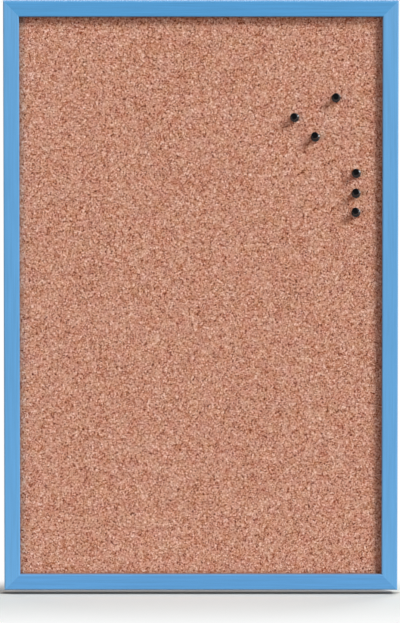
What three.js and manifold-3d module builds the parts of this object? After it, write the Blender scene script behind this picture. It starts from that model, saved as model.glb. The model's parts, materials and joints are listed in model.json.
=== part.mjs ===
// Cork pin board, 400 x 600 mm, with six push pins.
//
// Four mitred rails with a rebate behind their front lip make the frame. A laminated panel lies in
// the rebate against the lip: granulated cork in front, a soft fibreboard core that takes the pins'
// needles, and a thin hardboard backing. Flat steel points shot into the rails hold the panel in,
// and a V nail driven from the back ties each mitre. Two strap hangers with swinging D rings are
// screwed to the backs of the side rails. The push pins stand in the cork, each with a lean of its
// own, and pull out along their own axes.
//
// Millimetres, +Z up, +X to the right as seen from the front, +Y towards the wall.
// The origin is the centre of the board, in the plane of the frame's back.

import * as THREE from "three";
import { mergeVertices } from "three/addons/utils/BufferGeometryUtils.js";
import Module from "manifold-3d";

// Frame
const BOARD_WIDTH = 400;
const BOARD_HEIGHT = 600;
const RAIL_FACE = 16; // width of a rail as seen from the front
const LIP_DEPTH = 9; // front face to the rebate, so about how deep the cork lies in the frame
const LIP_WIDTH = 5; // how far the lip reaches in past the rebate
const FRONT_EDGE_RADIUS = 1.5; // the two rounded front edges of a rail
const MITRE_GLUE = 0.3; // glue line between two mitred ends, measured along a rail

// Panel
const CORK_THICKNESS = 2.5;
const CORE_THICKNESS = 6;
const BACKING_THICKNESS = 1.5;
const BACK_RECESS = 2.5; // how far the panel's back lies inside the frame's back
const PANEL_PLAY = 0.8; // room between the edge of the panel and the rebate, on every side

// Clearances
const SEAT_GAP = 0.3; // between a piece and the face that it is seated on
const GLUE_LINE = 0.1; // between two laminated layers
const DRIVEN_CLEARANCE = 0.3; // around steel driven into wood or cork
const MOULD_CLEARANCE = 0.1; // around the end of a needle moulded into its grip
const CUT_THROUGH = 1; // how far a cut runs on past the face that it opens

// V nails
const VNAIL_LEG = 6;
const VNAIL_THICKNESS = 0.6;
const VNAIL_HEIGHT = 10;
const VNAIL_HALF_ANGLE = 50; // degrees between a leg and the mitre
const VNAIL_INSET = 5; // outer corner of the frame to the point of the V, along the mitre

// Retaining points
const POINT_EMBED = 5.5; // length driven into the rail
const POINT_LAP = 7.5; // length that stands out of the rail, over the panel
const POINT_WIDTH = 6;
const POINT_THICKNESS = 0.5;
const POINT_TIP = 2.5; // length of the pointed end in the wood
const POINTS_PER_SIDE = 3;
const POINTS_PER_END = 2;
const POINT_END_INSET = 60; // end of a rail to its first point

// Strap hangers
const HANGER_INSET = 6; // outer side of the frame to the middle of the strap
const HANGER_BELOW_POINT = 35; // a side rail's highest retaining point to the ring's pivot
const STRAP_WIDTH = 6;
const STRAP_THICKNESS = 0.8;
const STRAP_END = 4.5; // middle of the screw to the end of the strap
const RING_WIRE = 1.6; // diameter
const RING_INSIDE_WIDTH = 8;
const RING_REACH = 11; // pivot to the middle of the wire at the far end
const RING_CORNER = 1.2; // bend between the ring's bar and its legs, at the middle of the wire
const RUNNING_CLEARANCE = 0.3; // between the wire and the eye of the strap
const SCREW_SHANK = 2.8; // diameter
const SCREW_LENGTH = 12; // under the head
const SCREW_TIP = 3;
const SCREW_HEAD = 5.6; // diameter
const SCREW_HEAD_EDGE = 0.8; // height of the straight edge of the head
const SCREW_HEAD_DOME = 1; // height of the rounded top of the head
const SCREW_BEYOND_RING = 1; // ring folded down to the edge of the screw's head
const CROSS_LENGTH = 3.2;
const CROSS_WIDTH = 0.8;
const CROSS_DEPTH = 1.1;

// Push pins
const FLANGE_DIAMETER = 9.2;
const FLANGE_EDGE = 0.9; // height of the flange's straight edge
const FLANGE_SLOPE_RISE = 0.7; // from that edge up to the foot of the waist
const FLANGE_SLOPE_WIDTH = 1.5;
const WAIST_DIAMETER = 5;
const WAIST_FROM_FLANGE = 2.3; // foot of the waist to the narrowest place
const WAIST_FROM_HEAD = 4; // the narrowest place to the foot of the head's edge
const HEAD_DIAMETER = 7.2;
const HEAD_EDGE = 1.9; // height of the head's straight edge
const RIM_RADIUS = 0.7; // rounded rim on top of the head
const NEEDLE_DIAMETER = 1;
const NEEDLE_LENGTH = 8.6; // below the flange
const NEEDLE_EMBED = 5; // inside the grip
const NEEDLE_TIP = 2.5;

// Where each pin stands, measured from the top right corner of the board, and its lean in degrees.
const PINS = [
  { name: "pin_1", fromRight: 63.1, fromTop: 98.9, leanLeft: 1.2, leanUp: 12 },
  { name: "pin_2", fromRight: 104.7, fromTop: 118.9, leanLeft: 6.2, leanUp: 10.7 },
  { name: "pin_3", fromRight: 83.9, fromTop: 139.1, leanLeft: 4.6, leanUp: 16 },
  { name: "pin_4", fromRight: 42.2, fromTop: 175.6, leanLeft: 5, leanUp: 11.5 },
  { name: "pin_5", fromRight: 42.6, fromTop: 196.2, leanLeft: 2.6, leanUp: 14.6 },
  { name: "pin_6", fromRight: 42.6, fromTop: 215.8, leanLeft: 4.4, leanUp: 16 },
];

// Facets of round shapes
const ARRIS_FACETS = 8; // on a rounded front edge of a rail
const EDGE_FACETS = 4; // on the other quarter rounds
const GRIP_FACETS = 18; // around a pin's grip
const WAIST_FACETS = 5; // along each half of a grip's waist
const SHAFT_FACETS = 12; // around needles, bores and screws
const WIRE_FACETS = 8; // around the wire of a ring
const LOOP_FACETS = 14; // along the round end of a ring

// Sizes that follow from the ones above
const railBackWidth = RAIL_FACE - LIP_WIDTH;
const layers = CORK_THICKNESS + GLUE_LINE + CORE_THICKNESS + GLUE_LINE + BACKING_THICKNESS;
const railDepth = LIP_DEPTH + SEAT_GAP + layers + BACK_RECESS;
const panelWidth = BOARD_WIDTH - 2 * (railBackWidth + PANEL_PLAY);
const panelHeight = BOARD_HEIGHT - 2 * (railBackWidth + PANEL_PLAY);
const corkFront = -(BACK_RECESS + layers);
const coreFront = corkFront + CORK_THICKNESS + GLUE_LINE;
const backingFront = coreFront + CORE_THICKNESS + GLUE_LINE;
const pointFront = SEAT_GAP - BACK_RECESS;
const ringHalfWidth = (RING_INSIDE_WIDTH + RING_WIRE) / 2;
const eyeBore = RING_WIRE / 2 + RUNNING_CLEARANCE;
const eyeRadius = eyeBore + STRAP_THICKNESS;
const pivotLift = SEAT_GAP + eyeRadius;
const pivotHeight = BOARD_HEIGHT / 2 - POINT_END_INSET - HANGER_BELOW_POINT;
const screwDrop = RING_REACH + RING_WIRE / 2 + SCREW_BEYOND_RING + SCREW_HEAD / 2;
const screwSeat = SEAT_GAP + STRAP_THICKNESS + SEAT_GAP;
const screwBore = SCREW_SHANK / 2 + DRIVEN_CLEARANCE;
const waistFoot = FLANGE_EDGE + FLANGE_SLOPE_RISE;
const waistHeight = waistFoot + WAIST_FROM_FLANGE;
const headFoot = waistHeight + WAIST_FROM_HEAD;
const gripHeight = headFoot + HEAD_EDGE + RIM_RADIUS;

// Materials
const paint = { color: 0x61a2d8, roughness: 0.45, metalness: 0 };
const cork = { color: 0xc08b74, roughness: 0.95, metalness: 0 };
const fibreboard = { color: 0xa98d66, roughness: 1, metalness: 0 };
const hardboard = { color: 0x6e4c33, roughness: 0.7, metalness: 0 };
const zincSteel = { color: 0xb9bbbd, roughness: 0.35, metalness: 1 };
const blackPlastic = { color: 0x121214, roughness: 0.2, metalness: 0 };
const needleSteel = { color: 0xc9cccf, roughness: 0.2, metalness: 1 };

const wasm = await Module();
wasm.setup();

function degrees(angle) {
  return THREE.MathUtils.degToRad(angle);
}

function mesh(name, geometry, finish) {
  const made = new THREE.Mesh(geometry, new THREE.MeshStandardMaterial(finish));
  made.name = name;
  return made;
}

// A closed geometry, moved by a matrix, as a solid that can be joined and cut.
function solidOf(geometry, matrix = new THREE.Matrix4()) {
  const bare = geometry.clone().applyMatrix4(matrix);
  bare.deleteAttribute("normal");
  bare.deleteAttribute("uv");
  const merged = mergeVertices(bare);
  const vertProperties = new Float32Array(merged.attributes.position.array);
  const triVerts = new Uint32Array(merged.index.array);
  return new wasm.Manifold(new wasm.Mesh({ numProp: 3, vertProperties, triVerts }));
}

function geometryOf(solid) {
  const { vertProperties, triVerts } = solid.getMesh();
  const geometry = new THREE.BufferGeometry();
  geometry.setAttribute("position", new THREE.BufferAttribute(vertProperties, 3));
  geometry.setIndex(new THREE.BufferAttribute(triVerts, 1));
  geometry.computeVertexNormals();
  return geometry;
}

// What is left of a geometry when each of the cutters is taken away.
function cutBy(geometry, cutters) {
  const left = cutters.reduce((solid, cutter) => solid.subtract(cutter), solidOf(geometry));
  return geometryOf(left);
}

// A box between two values along each axis.
function boxBetween(x, y, z) {
  const box = new THREE.BoxGeometry(x[1] - x[0], y[1] - y[0], z[1] - z[0]);
  return box.translate((x[0] + x[1]) / 2, (y[0] + y[1]) / 2, (z[0] + z[1]) / 2);
}

// An outline drawn in x and z, with its thickness along y between two values.
function plateBetween(shape, y) {
  const flat = new THREE.ExtrudeGeometry(shape, { depth: y[1] - y[0], bevelEnabled: false });
  return flat.rotateX(Math.PI / 2).translate(0, y[1], 0);
}

// A round bar along y, between two values.
function barBetween(radius, y) {
  const bar = new THREE.CylinderGeometry(radius, radius, y[1] - y[0], SHAFT_FACETS);
  return bar.translate(0, (y[0] + y[1]) / 2, 0);
}

// V nails. In a corner's own frame x runs inwards along the mitre from the outer corner, and z
// across it. The point of the V lies on the mitre, and each leg goes into one of the two rails.
// Room on every side turns the nail into the slot that it sits in.
function vNail(room, y) {
  const angle = degrees(VNAIL_HALF_ANGLE);
  const leg = VNAIL_LEG + room;
  const half = VNAIL_THICKNESS / 2 + room;
  const end = new THREE.Vector2(VNAIL_INSET + leg * Math.cos(angle), leg * Math.sin(angle));
  const side = new THREE.Vector2(half * Math.sin(angle), half * Math.cos(angle));
  const point = half / Math.sin(angle);
  const shape = new THREE.Shape([
    new THREE.Vector2(VNAIL_INSET - point, 0),
    new THREE.Vector2(end.x - side.x, -end.y - side.y),
    new THREE.Vector2(end.x + side.x, -end.y + side.y),
    new THREE.Vector2(VNAIL_INSET + point, 0),
    new THREE.Vector2(end.x + side.x, end.y - side.y),
    new THREE.Vector2(end.x - side.x, end.y + side.y),
  ]);
  return plateBetween(shape, y);
}

// Retaining points. In a rail's own frame, with the pointed end in the wood.
function retainingPoint() {
  const tip = railBackWidth - POINT_EMBED;
  const half = POINT_WIDTH / 2;
  const shape = new THREE.Shape([
    new THREE.Vector2(tip, 0),
    new THREE.Vector2(tip + POINT_TIP, -half),
    new THREE.Vector2(railBackWidth + POINT_LAP, -half),
    new THREE.Vector2(railBackWidth + POINT_LAP, half),
    new THREE.Vector2(tip + POINT_TIP, half),
  ]);
  return plateBetween(shape, [pointFront, pointFront + POINT_THICKNESS]);
}

function pointSlot(along) {
  const half = POINT_WIDTH / 2 + DRIVEN_CLEARANCE;
  const slot = boxBetween(
    [railBackWidth - POINT_EMBED - DRIVEN_CLEARANCE, railBackWidth + CUT_THROUGH],
    [pointFront - DRIVEN_CLEARANCE, pointFront + POINT_THICKNESS + DRIVEN_CLEARANCE],
    [along - half, along + half],
  );
  return solidOf(slot);
}

// Places of a row of points along a rail, the same distance apart.
function pointPlaces(length, count) {
  const first = POINT_END_INSET - length / 2;
  const step = (length - 2 * POINT_END_INSET) / (count - 1);
  return Array.from({ length: count }, (_, i) => first + i * step);
}

// Frame rails. In a rail's own frame x runs inwards from the outer side, y is depth with the back
// at 0, and z runs along the rail from its middle.
function railSection() {
  const front = -railDepth;
  const rebate = front + LIP_DEPTH;
  const round = FRONT_EDGE_RADIUS;
  const section = new THREE.Shape();
  section.moveTo(0, 0);
  section.lineTo(0, front + round);
  section.absarc(round, front + round, round, Math.PI, 1.5 * Math.PI, false);
  section.absarc(RAIL_FACE - round, front + round, round, 1.5 * Math.PI, 2 * Math.PI, false);
  section.lineTo(RAIL_FACE, rebate);
  section.lineTo(railBackWidth, rebate);
  section.lineTo(railBackWidth, 0);
  return section;
}

// The section carried along the rail. Each point of it stops short of the end by its distance from
// the outer side, which makes the mitres.
function mitredBar(length) {
  const settings = { depth: 1, bevelEnabled: false, curveSegments: ARRIS_FACETS };
  const bar = new THREE.ExtrudeGeometry(railSection(), settings);
  const position = bar.attributes.position;
  for (let i = 0; i < position.count; i += 1) {
    const end = (length - MITRE_GLUE) / 2 - position.getX(i);
    position.setZ(i, position.getZ(i) > 0.5 ? end : -end);
  }
  return bar;
}

// One side of the frame: its rail, with the slots for the steel that is driven into it, and its
// retaining points. A screw hole is given by its place along the rail.
function frameSide(name, length, pointCount, screwHoles) {
  const places = pointPlaces(length, pointCount);
  const slots = places.map(pointSlot);
  for (const end of [1, -1]) {
    const corner = new THREE.Matrix4().makeTranslation(0, 0, (end * length) / 2);
    corner.multiply(new THREE.Matrix4().makeRotationY((end * Math.PI) / 4));
    const depth = [-VNAIL_HEIGHT - DRIVEN_CLEARANCE - SEAT_GAP, CUT_THROUGH];
    slots.push(solidOf(vNail(DRIVEN_CLEARANCE, depth), corner));
  }
  for (const along of screwHoles) {
    const hole = barBetween(screwBore, [screwSeat - SCREW_LENGTH - DRIVEN_CLEARANCE, CUT_THROUGH]);
    slots.push(solidOf(hole.translate(HANGER_INSET, 0, along)));
  }
  const side = new THREE.Group();
  side.add(mesh(`rail_${name}`, cutBy(mitredBar(length), slots), paint));
  places.forEach((along, i) => {
    const point = mesh(`retaining_point_${name}_${i + 1}`, retainingPoint(), zincSteel);
    point.position.z = along;
    side.add(point);
  });
  return side;
}

function frame() {
  const assembly = new THREE.Group();
  const screwHeight = pivotHeight - screwDrop;

  const left = frameSide("left", BOARD_HEIGHT, POINTS_PER_SIDE, [screwHeight]);
  left.position.x = -BOARD_WIDTH / 2;
  const right = frameSide("right", BOARD_HEIGHT, POINTS_PER_SIDE, [-screwHeight]);
  right.position.x = BOARD_WIDTH / 2;
  right.rotation.y = Math.PI;
  const top = frameSide("top", BOARD_WIDTH, POINTS_PER_END, []);
  top.position.z = BOARD_HEIGHT / 2;
  top.rotation.y = Math.PI / 2;
  const bottom = frameSide("bottom", BOARD_WIDTH, POINTS_PER_END, []);
  bottom.position.z = -BOARD_HEIGHT / 2;
  bottom.rotation.y = -Math.PI / 2;
  assembly.add(left, right, top, bottom);

  const corners = [
    { name: "top_left", x: -1, z: 1, turn: 45 },
    { name: "top_right", x: 1, z: 1, turn: 135 },
    { name: "bottom_right", x: 1, z: -1, turn: 225 },
    { name: "bottom_left", x: -1, z: -1, turn: 315 },
  ];
  for (const corner of corners) {
    const depth = [-VNAIL_HEIGHT - SEAT_GAP, -SEAT_GAP];
    const nail = mesh(`v_nail_${corner.name}`, vNail(0, depth), zincSteel);
    nail.position.set((corner.x * BOARD_WIDTH) / 2, 0, (corner.z * BOARD_HEIGHT) / 2);
    nail.rotation.y = degrees(corner.turn);
    assembly.add(nail);
  }
  return assembly;
}

// Push pins. In a pin's own frame its axis is y, the cork's face is at y = 0 and the head points
// to -y. A leaning flange rests on the cork at the lowest point of its edge.
function leanOf(pin) {
  const left = Math.tan(degrees(pin.leanLeft));
  const up = Math.tan(degrees(pin.leanUp));
  return new THREE.Vector3(-left, -1, up).normalize();
}

function flangeLift(pin) {
  const tilt = leanOf(pin).angleTo(new THREE.Vector3(0, -1, 0));
  return SEAT_GAP + (FLANGE_DIAMETER / 2) * Math.sin(tilt);
}

function pinPlace(pin) {
  const foot = new THREE.Vector3(
    BOARD_WIDTH / 2 - pin.fromRight,
    corkFront,
    BOARD_HEIGHT / 2 - pin.fromTop,
  );
  const turn = new THREE.Quaternion().setFromUnitVectors(new THREE.Vector3(0, -1, 0), leanOf(pin));
  return new THREE.Matrix4().compose(foot, turn, new THREE.Vector3(1, 1, 1));
}

// Half of the waist, from the narrowest place to a wider radius, as a quarter of an ellipse that
// leaves the narrowest place along the axis and meets the wider edge square to it.
function waistCurve(wide, from, to) {
  const narrow = WAIST_DIAMETER / 2;
  return Array.from({ length: WAIST_FACETS - 1 }, (_, i) => {
    const angle = ((i + 1) / WAIST_FACETS) * (Math.PI / 2);
    const radius = narrow + (wide - narrow) * (1 - Math.cos(angle));
    return new THREE.Vector2(radius, from + (to - from) * Math.sin(angle));
  });
}

// The grip: a thin flange with a sloping top, a drawn-in waist and a flat head, turned round its
// axis, with a blind bore for the needle.
function grip() {
  const bore = NEEDLE_DIAMETER / 2 + MOULD_CLEARANCE;
  const boreTop = NEEDLE_EMBED + MOULD_CLEARANCE;
  const flange = FLANGE_DIAMETER / 2;
  const head = HEAD_DIAMETER / 2;
  const slopeTop = flange - FLANGE_SLOPE_WIDTH;
  const rimFoot = gripHeight - RIM_RADIUS;
  const rim = Array.from({ length: EDGE_FACETS }, (_, i) => {
    const angle = ((i + 1) / EDGE_FACETS) * (Math.PI / 2);
    const across = head - RIM_RADIUS + RIM_RADIUS * Math.cos(angle);
    return new THREE.Vector2(across, rimFoot + RIM_RADIUS * Math.sin(angle));
  });
  const profile = [
    new THREE.Vector2(0, boreTop),
    new THREE.Vector2(bore, boreTop),
    new THREE.Vector2(bore, 0),
    new THREE.Vector2(flange, 0),
    new THREE.Vector2(flange, FLANGE_EDGE),
    new THREE.Vector2(slopeTop, waistFoot),
    ...waistCurve(slopeTop, waistHeight, waistFoot).reverse(),
    new THREE.Vector2(WAIST_DIAMETER / 2, waistHeight),
    ...waistCurve(head, waistHeight, headFoot),
    new THREE.Vector2(head, headFoot),
    new THREE.Vector2(head, rimFoot),
    ...rim,
    new THREE.Vector2(0, gripHeight),
  ];
  return new THREE.LatheGeometry(profile, GRIP_FACETS).rotateX(Math.PI);
}

function needle() {
  const radius = NEEDLE_DIAMETER / 2;
  const profile = [
    new THREE.Vector2(0, -NEEDLE_LENGTH),
    new THREE.Vector2(radius, NEEDLE_TIP - NEEDLE_LENGTH),
    new THREE.Vector2(radius, NEEDLE_EMBED),
    new THREE.Vector2(0, NEEDLE_EMBED),
  ];
  return new THREE.LatheGeometry(profile, SHAFT_FACETS).rotateX(Math.PI);
}

function pushPin(pin) {
  const pieces = [
    mesh(`${pin.name}_grip`, grip(), blackPlastic),
    mesh(`${pin.name}_needle`, needle(), needleSteel),
  ];
  const placed = new THREE.Group();
  placed.applyMatrix4(pinPlace(pin));
  for (const piece of pieces) {
    piece.position.y = -flangeLift(pin);
    placed.add(piece);
  }
  return placed;
}

// The hole that a pin's needle makes, a little wider and deeper than the needle.
function needleHole(pin) {
  const radius = NEEDLE_DIAMETER / 2 + DRIVEN_CLEARANCE;
  const depth = NEEDLE_LENGTH - flangeLift(pin) + DRIVEN_CLEARANCE;
  return barBetween(radius, [-CUT_THROUGH, depth]).applyMatrix4(pinPlace(pin));
}

// Panel. Every layer that a needle reaches has its hole.
function panelLayer(name, finish, front, thickness) {
  const across = [-panelWidth / 2, panelWidth / 2];
  const upright = [-panelHeight / 2, panelHeight / 2];
  const sheet = boxBetween(across, [front, front + thickness], upright);
  const holes = PINS.map((pin) => solidOf(needleHole(pin)));
  return mesh(name, cutBy(sheet, holes), finish);
}

// Strap hangers. In a hanger's own frame the ring's axis is x, the rail's back is at y = 0, and the
// strap hangs down from the ring's axis at z = 0.
function strap() {
  const half = STRAP_WIDTH / 2;
  const end = -screwDrop - STRAP_END;
  const round = half / 2;
  const outline = new THREE.Shape();
  outline.moveTo(half, 0);
  outline.lineTo(-half, 0);
  outline.lineTo(-half, end + round);
  outline.absarc(-half + round, end + round, round, Math.PI, 1.5 * Math.PI, false);
  outline.absarc(half - round, end + round, round, 1.5 * Math.PI, 2 * Math.PI, false);
  const tongue = solidOf(plateBetween(outline, [SEAT_GAP, SEAT_GAP + STRAP_THICKNESS]));
  const acrossAxis = new THREE.Matrix4().makeTranslation(0, pivotLift, 0);
  acrossAxis.multiply(new THREE.Matrix4().makeRotationZ(Math.PI / 2));
  const eye = solidOf(barBetween(eyeRadius, [-half, half]), acrossAxis);
  const bore = solidOf(barBetween(eyeBore, [-half - CUT_THROUGH, half + CUT_THROUGH]), acrossAxis);
  const hole = barBetween(screwBore, [SEAT_GAP - CUT_THROUGH, screwSeat + CUT_THROUGH]);
  const drilled = tongue.add(eye).subtract(bore).subtract(solidOf(hole.translate(0, 0, -screwDrop)));
  return geometryOf(drilled);
}

// Points along a bend about a middle, from one angle to another, both ends included.
function bend(middle, radius, from, to, facets) {
  return Array.from({ length: facets + 1 }, (_, i) => {
    const angle = degrees(from + ((to - from) * i) / facets);
    return new THREE.Vector2(middle.x + radius * Math.cos(angle), middle.y + radius * Math.sin(angle));
  });
}

// The D ring: a straight bar through the eye, two legs and a round far end, in one closed loop of
// wire, standing up from its axis. Around each point of the loop lies a circle of the wire's radius.
function ring() {
  const corner = ringHalfWidth - RING_CORNER;
  const path = [
    ...bend(new THREE.Vector2(corner, RING_CORNER), RING_CORNER, -90, 0, EDGE_FACETS),
    ...bend(new THREE.Vector2(0, RING_REACH - ringHalfWidth), ringHalfWidth, 0, 180, LOOP_FACETS),
    ...bend(new THREE.Vector2(-corner, RING_CORNER), RING_CORNER, 180, 270, EDGE_FACETS),
  ];
  const positions = [];
  const triangles = [];
  path.forEach((middle, i) => {
    const before = path[(i + path.length - 1) % path.length];
    const after = path[(i + 1) % path.length];
    const along = after.clone().sub(before).normalize();
    for (let k = 0; k < WIRE_FACETS; k += 1) {
      const angle = (2 * Math.PI * k) / WIRE_FACETS;
      const outwards = (RING_WIRE / 2) * Math.cos(angle);
      const lift = (RING_WIRE / 2) * Math.sin(angle);
      positions.push(middle.x + along.y * outwards, lift, middle.y - along.x * outwards);
      const here = i * WIRE_FACETS;
      const next = ((i + 1) % path.length) * WIRE_FACETS;
      const turned = (k + 1) % WIRE_FACETS;
      triangles.push(here + k, here + turned, next + k);
      triangles.push(next + k, here + turned, next + turned);
    }
  });
  const geometry = new THREE.BufferGeometry();
  geometry.setAttribute("position", new THREE.Float32BufferAttribute(positions, 3));
  geometry.setIndex(triangles);
  geometry.computeVertexNormals();
  return geometry;
}

// The screw: a pointed shank under a domed head with a cross recess.
function screw() {
  const shank = SCREW_SHANK / 2;
  const head = SCREW_HEAD / 2;
  const dome = Array.from({ length: EDGE_FACETS }, (_, i) => {
    const angle = (i / EDGE_FACETS) * (Math.PI / 2);
    return new THREE.Vector2(head * Math.cos(angle), SCREW_HEAD_EDGE + SCREW_HEAD_DOME * Math.sin(angle));
  });
  const top = SCREW_HEAD_EDGE + SCREW_HEAD_DOME;
  const profile = [
    new THREE.Vector2(0, -SCREW_LENGTH),
    new THREE.Vector2(shank, SCREW_TIP - SCREW_LENGTH),
    new THREE.Vector2(shank, 0),
    new THREE.Vector2(head, 0),
    ...dome,
    new THREE.Vector2(0, top),
  ];
  const long = [-CROSS_LENGTH / 2, CROSS_LENGTH / 2];
  const narrow = [-CROSS_WIDTH / 2, CROSS_WIDTH / 2];
  const deep = [top - CROSS_DEPTH, top + CUT_THROUGH];
  const cross = [solidOf(boxBetween(long, deep, narrow)), solidOf(boxBetween(narrow, deep, long))];
  return cutBy(new THREE.LatheGeometry(profile, SHAFT_FACETS), cross);
}

// A whole hanger. The ring hangs down over the strap, as it does while the board stands on a floor.
function hanger(name, x) {
  const placed = new THREE.Group();
  placed.position.set(x, 0, pivotHeight);
  const loop = mesh(`hanger_${name}_ring`, ring(), zincSteel);
  loop.position.y = pivotLift;
  loop.rotation.x = Math.PI;
  const fixing = mesh(`hanger_${name}_screw`, screw(), zincSteel);
  fixing.position.set(0, screwSeat, -screwDrop);
  placed.add(mesh(`hanger_${name}_strap`, strap(), zincSteel), loop, fixing);
  return placed;
}

const board = new THREE.Group();
board.add(frame());
board.add(panelLayer("cork_sheet", cork, corkFront, CORK_THICKNESS));
board.add(panelLayer("softboard_core", fibreboard, coreFront, CORE_THICKNESS));
board.add(panelLayer("backing_panel", hardboard, backingFront, BACKING_THICKNESS));
board.add(hanger("left", HANGER_INSET - BOARD_WIDTH / 2));
board.add(hanger("right", BOARD_WIDTH / 2 - HANGER_INSET));
for (const pin of PINS) {
  board.add(pushPin(pin));
}

export default board;
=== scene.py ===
import json
import math

import bmesh
import bpy
import numpy as np
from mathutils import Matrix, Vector

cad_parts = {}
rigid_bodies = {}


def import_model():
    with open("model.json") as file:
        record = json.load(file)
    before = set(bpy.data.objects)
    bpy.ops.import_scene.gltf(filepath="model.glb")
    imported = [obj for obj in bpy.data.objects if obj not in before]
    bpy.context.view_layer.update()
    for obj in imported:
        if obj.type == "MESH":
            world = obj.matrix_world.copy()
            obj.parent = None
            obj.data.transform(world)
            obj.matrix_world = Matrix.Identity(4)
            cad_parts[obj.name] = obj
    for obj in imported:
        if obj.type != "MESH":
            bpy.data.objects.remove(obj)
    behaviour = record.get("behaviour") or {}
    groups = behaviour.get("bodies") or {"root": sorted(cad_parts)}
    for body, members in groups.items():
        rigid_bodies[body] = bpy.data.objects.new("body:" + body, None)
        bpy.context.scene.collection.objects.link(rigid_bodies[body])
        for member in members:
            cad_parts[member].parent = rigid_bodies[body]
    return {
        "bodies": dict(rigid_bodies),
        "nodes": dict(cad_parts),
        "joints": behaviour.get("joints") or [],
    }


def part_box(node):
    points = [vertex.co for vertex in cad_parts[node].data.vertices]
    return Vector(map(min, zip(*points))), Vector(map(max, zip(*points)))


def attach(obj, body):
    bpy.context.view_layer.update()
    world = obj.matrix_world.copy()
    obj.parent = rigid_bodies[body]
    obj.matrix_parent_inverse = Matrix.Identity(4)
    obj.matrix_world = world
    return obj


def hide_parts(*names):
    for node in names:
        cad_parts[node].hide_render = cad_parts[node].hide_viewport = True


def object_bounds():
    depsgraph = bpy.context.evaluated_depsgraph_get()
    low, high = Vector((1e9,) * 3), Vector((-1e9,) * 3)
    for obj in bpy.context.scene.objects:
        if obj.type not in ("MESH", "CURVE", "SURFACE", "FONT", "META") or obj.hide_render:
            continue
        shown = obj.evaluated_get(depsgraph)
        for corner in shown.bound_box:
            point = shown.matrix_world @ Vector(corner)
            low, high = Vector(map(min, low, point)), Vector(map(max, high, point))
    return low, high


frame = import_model()
cad_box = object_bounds()

# Frame rails
# Four lengths of planed softwood with a rebate behind the front lip, mitred, glued and nailed at the
# corners. They were lacquered light blue before they were cut, so the streaks run along each rail and
# stop at the mitres. The rails differ a little in tone, partly from the paint and partly as painted
# light: the upright rails are painted lighter, as if their streaks caught more of the side light.

MM = 0.001
# each rail's tone: a little the paint's own, and more painted light, with the upright rails lighter
RAIL_PAINT_AND_LIGHT_TONES = {
    "rail_top": "#4d99d1",
    "rail_bottom": "#5799d0",
    "rail_left": "#5ea1d6",
    "rail_right": "#60a3d8",
}
LYING_RAILS = ("rail_top", "rail_bottom")
BROWNED_RAIL = "rail_bottom"
STREAK_LENGTH = 60 * MM
STREAK_WIDTH = 1.6 * MM  # coarser than real brush marks, which are too fine to show
STREAK_BAND = (0.25, 0.75)  # values of the noise between which tone and gloss change
STREAK_TONE = 0.1  # how much lighter or darker a streak is
STREAK_RELIEF = 0.02 * MM
# the paler line along the front edges is partly worn lacquer and partly a painted highlight
ARRIS_WEAR_AND_HIGHLIGHT = (0.6 * MM, 1.6 * MM)  # from an edge: where the paler line is full, and where it ends
WORN_HIGHLIGHT_TONE = "#8fbce2"
WORN_HIGHLIGHT_SHARE = 0.35
END_PALE_TONE = "#a0d0f6"  # a paler tone towards the ends of the rails
END_PALE_SHARE = 0.06  # at the ends of the side rails
LEDGE_BROWN = "#7d5a49"  # a darker brown on the ledge of the bottom rail, thickest next to the cork
LEDGE_BROWN_DEPTH = (0.2 * MM, 2.8 * MM)  # behind the front: where it starts, and where it is thick
LEDGE_BROWN_SHARE = 0.75
LEDGE_EDGE = 1.5 * MM  # the ledge is what lies closer than this to the rail's inner side
LACQUER_IOR = 1.5
LACQUER_ROUGHNESS = (0.58, 0.7)
LACQUER_GLOSS = 0.35  # brushed on thin, it has little shine
LACQUER_FILM = 0.25  # fine dust, which pales a face that is seen at a slant
LACQUER_FILM_ROUGHNESS = 0.3


def linear(colour):
    """An sRGB hex colour as linear red, green, blue and alpha, by the sRGB curve."""
    channels = np.array([int(colour[i : i + 2], 16) for i in (1, 3, 5)]) / 255
    curved = ((channels + 0.055) / 1.055) ** 2.4
    return (*np.where(channels <= 0.04045, channels / 12.92, curved).tolist(), 1.0)


def add(tree, kind, sockets=None, **settings):
    """Adds a node. Settings are its properties, and each of the sockets, by name or number, gets a value
    or a link from another node's output."""
    made = tree.nodes.new(kind)
    for name, value in settings.items():
        setattr(made, name, value)
    for socket, value in (sockets or {}).items():
        if isinstance(value, bpy.types.NodeSocket):
            tree.links.new(value, made.inputs[socket])
        else:
            made.inputs[socket].default_value = value
    return made


def new_material(name):
    """A material with no nodes but the one that gives a point's place on the object, its node tree, and
    that place."""
    material = bpy.data.materials.new(name)
    material.use_nodes = True
    tree = material.node_tree
    tree.nodes.clear()
    return material, tree, add(tree, "ShaderNodeTexCoord").outputs["Object"]


def surface(tree, sockets):
    """Ends a material with a shader that has these sockets."""
    shader = add(tree, "ShaderNodeBsdfPrincipled", sockets)
    add(tree, "ShaderNodeOutputMaterial", {"Surface": shader.outputs["BSDF"]})


def worked_out(tree, operation, *numbers):
    """The number that an operation makes of others."""
    return add(tree, "ShaderNodeMath", dict(enumerate(numbers)), operation=operation).outputs["Value"]


def worked_out_vector(tree, operation, *vectors, output="Vector"):
    """The vector, or with the output Value the number, that an operation makes of vectors."""
    made = add(tree, "ShaderNodeVectorMath", dict(enumerate(vectors)), operation=operation)
    return made.outputs[output]


def inside_corner(tree, corner, place):
    """How far inside a corner a place lies along each axis, alike in all quarters of the board."""
    mirrored = worked_out_vector(tree, "ABSOLUTE", place)
    return worked_out_vector(tree, "SUBTRACT", corner, mirrored)


def split(tree, vector):
    """The three coordinates of a vector, by their letters."""
    return add(tree, "ShaderNodeSeparateXYZ", {"Vector": vector}).outputs


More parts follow.
